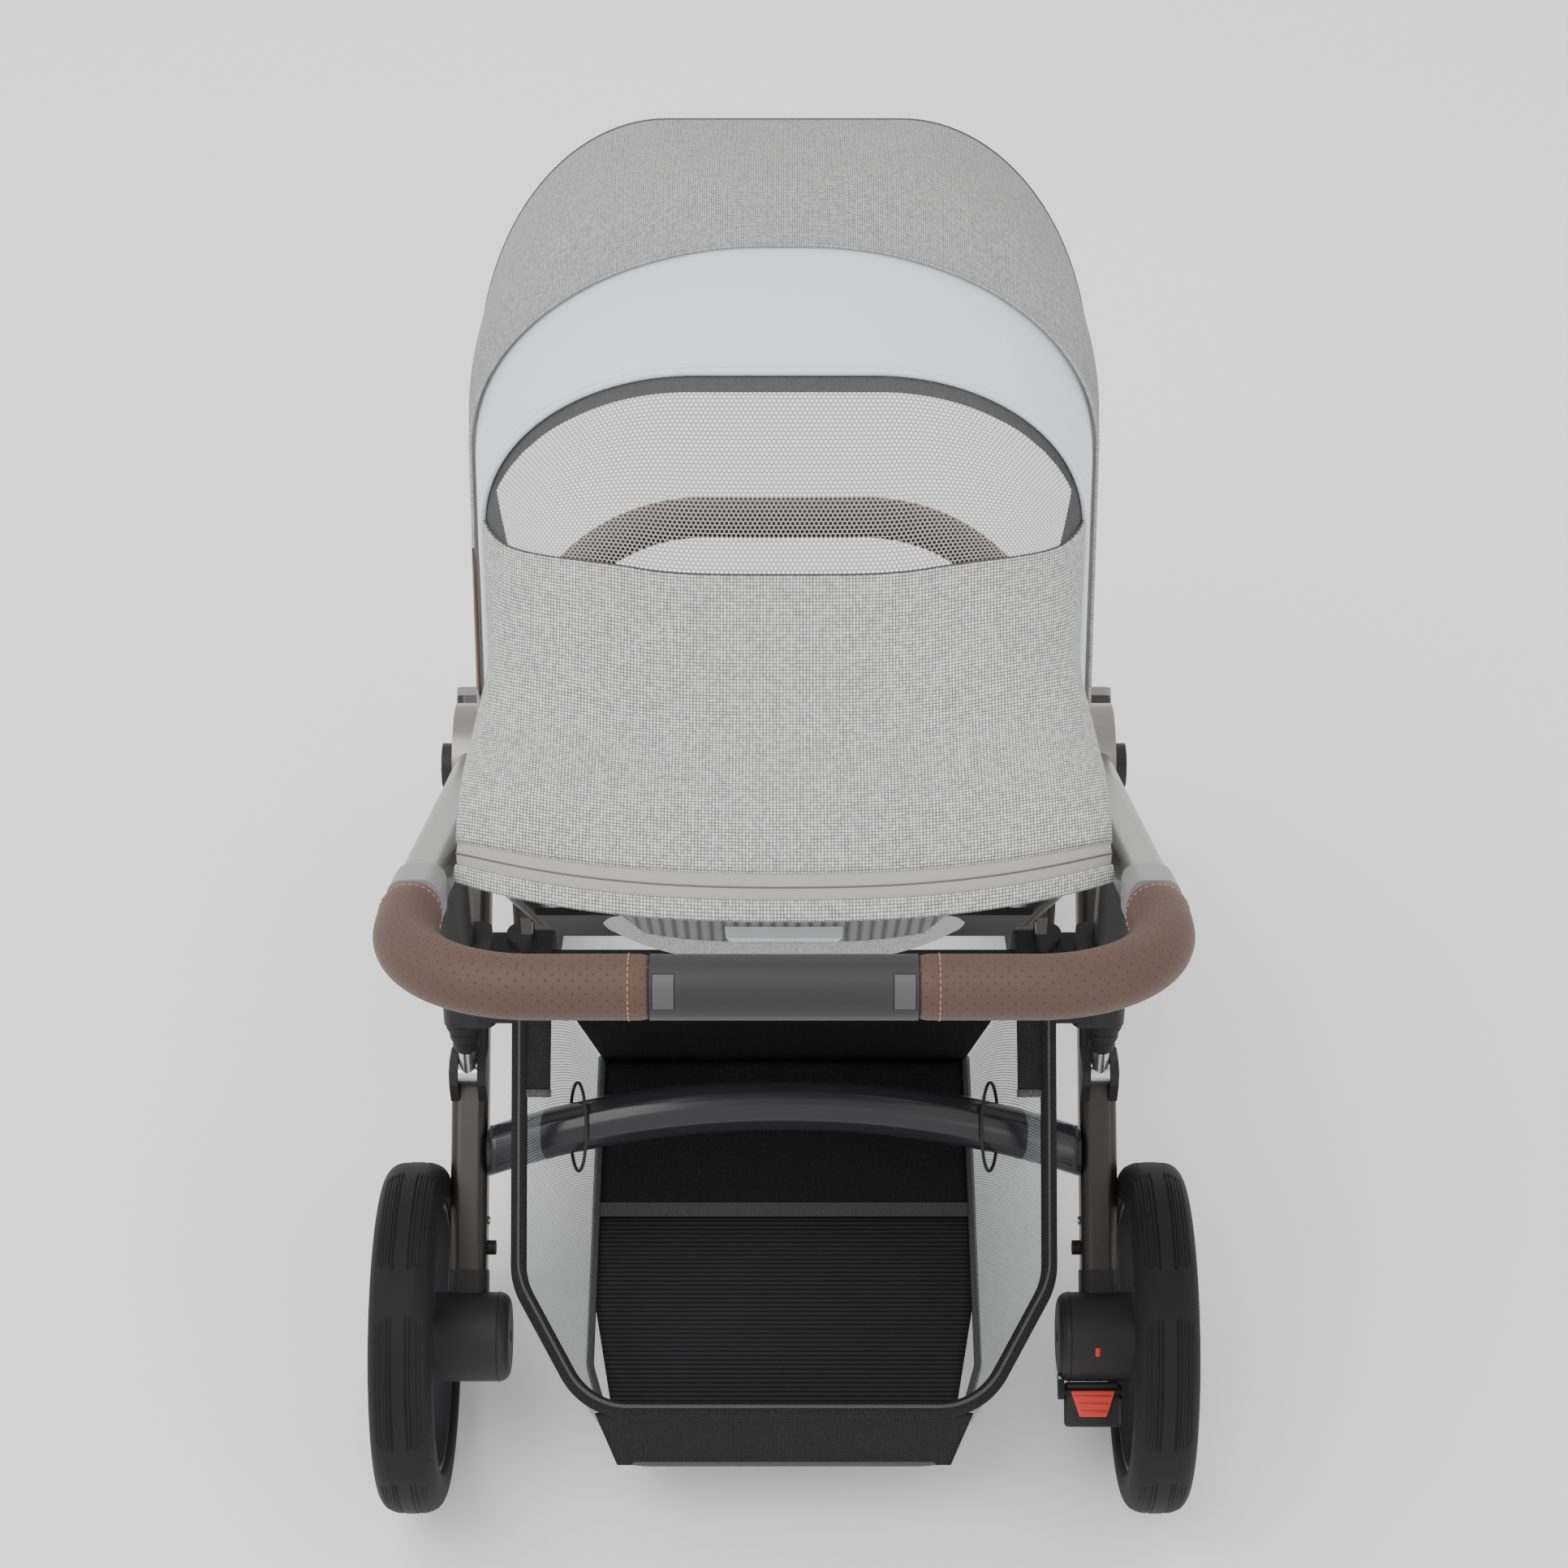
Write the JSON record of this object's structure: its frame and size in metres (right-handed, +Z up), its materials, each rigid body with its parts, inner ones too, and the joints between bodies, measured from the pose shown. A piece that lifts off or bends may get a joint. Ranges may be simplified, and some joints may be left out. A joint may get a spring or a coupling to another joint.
{
  "type": "baby stroller",
  "caption": "Folding baby stroller with a telescoping leather-grip handle, reclining seat, windowed canopy, under-seat basket and swivelling front casters.",
  "frame": {"origin": "on the floor, in the middle of the outline seen from above", "axes": "+Y is the direction of travel, +X the stroller's right side, +Z up"},
  "size_m": [0.6472, 0.9204, 1.1076],
  "materials": {
    "black_fabric": "close weave",
    "black_plastic": "fine grain",
    "boot_rubber": "matt",
    "frame_metal": "anodised satin",
    "gloss_black": "gloss",
    "grey_plastic": "smooth matt",
    "grey_weave": "two-tone plain weave",
    "leather": "perforated, stitched",
    "pale_plastic": "smooth matt",
    "red_plastic": "ribbed",
    "rim_plastic": "satin",
    "steel": "bright",
    "tyre_rubber": "moulded tread"
  },
  "bodies": {
    "chassis": {"leg_bolts": "steel", "front_leg_left": "frame_metal", "front_leg_right": "frame_metal", "hub_pins": "steel", "strut_pins": "steel", "caster_sockets": "black_plastic", "front_crossbar": "gloss_black", "seat_mounts": "black_plastic", "seat_frame": "frame_metal", "seat_pad": "grey_weave"},
    "handle_arms": {"arm_left": "frame_metal", "arm_right": "frame_metal", "arm_collars": "pale_plastic"},
    "handle": {"handle_bar": "frame_metal", "grip_left": "leather", "grip_right": "leather", "handle_centre": "black_plastic"},
    "handle_button_left": {"handle_button_left": "black_plastic"},
    "handle_button_right": {"handle_button_right": "black_plastic"},
    "rear_frame": {"rear_leg_left": "frame_metal", "rear_leg_right": "frame_metal", "leg_caps": "grey_plastic", "axle_housing_left": "black_plastic", "axle_housing_right": "black_plastic", "clevises": "black_plastic", "rear_crossbar": "gloss_black", "rear_axles": "steel", "leg_knobs": "black_plastic", "brake_mount": "black_plastic"},
    "brake": {"brake_pedal": "red_plastic"},
    "struts": {"strut_left": "black_plastic", "strut_right": "black_plastic", "basket_rim": "black_plastic", "basket": "black_fabric", "basket_brackets": "black_plastic"},
    "strut_rods": {"strut_rods": "steel", "strut_boots": "boot_rubber"},
    "rear_wheel_left": {"rear_rim_left": "rim_plastic", "rear_tyre_left": "tyre_rubber"},
    "rear_wheel_right": {"rear_rim_right": "rim_plastic", "rear_tyre_right": "tyre_rubber"},
    "caster_left": {"fork_left": "black_plastic"},
    "caster_right": {"fork_right": "black_plastic"},
    "front_wheel_left": {"front_rim_left": "rim_plastic", "front_tyre_left": "tyre_rubber"},
    "front_wheel_right": {"front_rim_right": "rim_plastic", "front_tyre_right": "tyre_rubber"},
    "swivel_lock_left": {"swivel_lock_left": "black_plastic"},
    "swivel_lock_right": {"swivel_lock_right": "black_plastic"},
    "seat_back": {"back_frame": "frame_metal", "back_pad": "grey_weave", "back_panel": "black_fabric", "canopy_rear": "grey_weave"},
    "recline_handle": {"recline_handle": "grey_plastic"},
    "canopy_front": {"canopy_front": "grey_weave"},
    "bumper": {"bumper_bar": "leather"},
    "leg_rest": {"leg_rest": "grey_weave"},
    "seat_release_left": {"seat_release_left": "black_plastic"},
    "seat_release_right": {"seat_release_right": "black_plastic"}
  },
  "joints": [
    {"name": "fold", "type": "hinge", "parent": "chassis", "child": "handle_arms", "pos_m": [0, 0.03121, 0.631], "axis": [-1, 0, 0], "range_deg": [0, 150]},
    {"name": "rear_legs_fold", "type": "hinge", "parent": "chassis", "child": "rear_frame", "pos_m": [0, 0.23521, 0.375], "axis": [1, 0, 0], "range_deg": [0, 25]},
    {"name": "strut_swing", "type": "hinge", "parent": "chassis", "child": "struts", "pos_m": [0, 0.06985, 0.58251], "axis": [1, 0, 0], "range_deg": [0, 12.03]},
    {"name": "strut_rod_swing", "type": "hinge", "parent": "rear_frame", "child": "strut_rods", "pos_m": [0, 0.00321, 0.267], "axis": [-1, 0, 0], "range_deg": [0, 12.97]},
    {"name": "handle_slide", "type": "slide", "parent": "handle_arms", "child": "handle", "axis": [0, -0.7638, 0.6455], "range_m": [0, 0.075]},
    {"name": "handle_button_left_press", "type": "slide", "parent": "handle", "child": "handle_button_left", "axis": [0, 0.7071, -0.7071], "range_m": [0, 0.0012], "stiffness_N_per_m": 400, "springref_m": -0.0012},
    {"name": "handle_button_right_press", "type": "slide", "parent": "handle", "child": "handle_button_right", "axis": [0, 0.7071, -0.7071], "range_m": [0, 0.0012], "stiffness_N_per_m": 400, "springref_m": -0.0012},
    {"name": "brake_press", "type": "hinge", "parent": "rear_frame", "child": "brake", "pos_m": [0, -0.21108, 0.12561], "axis": [1, 0, 0], "range_deg": [0, 18]},
    {"name": "rear_wheel_left_spin", "type": "hinge", "parent": "rear_frame", "child": "rear_wheel_left", "pos_m": [-0.2986, -0.16879, 0.141], "axis": [1, 0, 0], "continuous": true},
    {"name": "caster_left_swivel", "type": "hinge", "parent": "chassis", "child": "caster_left", "pos_m": [-0.224, 0.39121, 0.223], "axis": [0, 0, 1], "continuous": true},
    {"name": "front_wheel_left_spin", "type": "hinge", "parent": "caster_left", "child": "front_wheel_left", "pos_m": [-0.224, 0.35921, 0.101], "axis": [1, 0, 0], "continuous": true},
    {"name": "swivel_lock_left_press", "type": "slide", "parent": "chassis", "child": "swivel_lock_left", "axis": [0, 0, -1], "range_m": [0, 0.002]},
    {"name": "seat_release_left_press", "type": "slide", "parent": "chassis", "child": "seat_release_left", "axis": [0, 0, -1], "range_m": [0, 0.003], "stiffness_N_per_m": 300, "springref_m": -0.003},
    {"name": "rear_wheel_right_spin", "type": "hinge", "parent": "rear_frame", "child": "rear_wheel_right", "pos_m": [0.2986, -0.16879, 0.141], "axis": [1, 0, 0], "continuous": true},
    {"name": "caster_right_swivel", "type": "hinge", "parent": "chassis", "child": "caster_right", "pos_m": [0.224, 0.39121, 0.223], "axis": [0, 0, 1], "continuous": true},
    {"name": "front_wheel_right_spin", "type": "hinge", "parent": "caster_right", "child": "front_wheel_right", "pos_m": [0.224, 0.35921, 0.101], "axis": [1, 0, 0], "continuous": true},
    {"name": "swivel_lock_right_press", "type": "slide", "parent": "chassis", "child": "swivel_lock_right", "axis": [0, 0, -1], "range_m": [0, 0.002]},
    {"name": "seat_release_right_press", "type": "slide", "parent": "chassis", "child": "seat_release_right", "axis": [0, 0, -1], "range_m": [0, 0.003], "stiffness_N_per_m": 300, "springref_m": -0.003},
    {"name": "recline", "type": "hinge", "parent": "chassis", "child": "seat_back", "pos_m": [0, -0.08879, 0.605], "axis": [-1, 0, 0], "range_deg": [-20, 18]},
    {"name": "recline_handle_squeeze", "type": "slide", "parent": "seat_back", "child": "recline_handle", "axis": [0, -0.549, 0.8358], "range_m": [0, 0.008], "stiffness_N_per_m": 400, "springref_m": -0.004},
    {"name": "canopy_fold", "type": "hinge", "parent": "seat_back", "child": "canopy_front", "pos_m": [0, -0.13479, 0.729], "axis": [1, 0, 0], "range_deg": [0, 40]},
    {"name": "bumper_lift", "type": "hinge", "parent": "chassis", "child": "bumper", "pos_m": [0, 0.06721, 0.659], "axis": [1, 0, 0], "range_deg": [0, 60]},
    {"name": "leg_rest_tilt", "type": "hinge", "parent": "chassis", "child": "leg_rest", "pos_m": [0, 0.16921, 0.613], "axis": [1, 0, 0], "range_deg": [-37, 36]}
  ],
  "couplings": [
    {"joint": "rear_legs_fold", "follows": "fold", "ratio": 0.16667},
    {"joint": "strut_swing", "follows": "fold", "ratio": 0.0802},
    {"joint": "strut_rod_swing", "follows": "fold", "ratio": 0.086466}
  ]
}
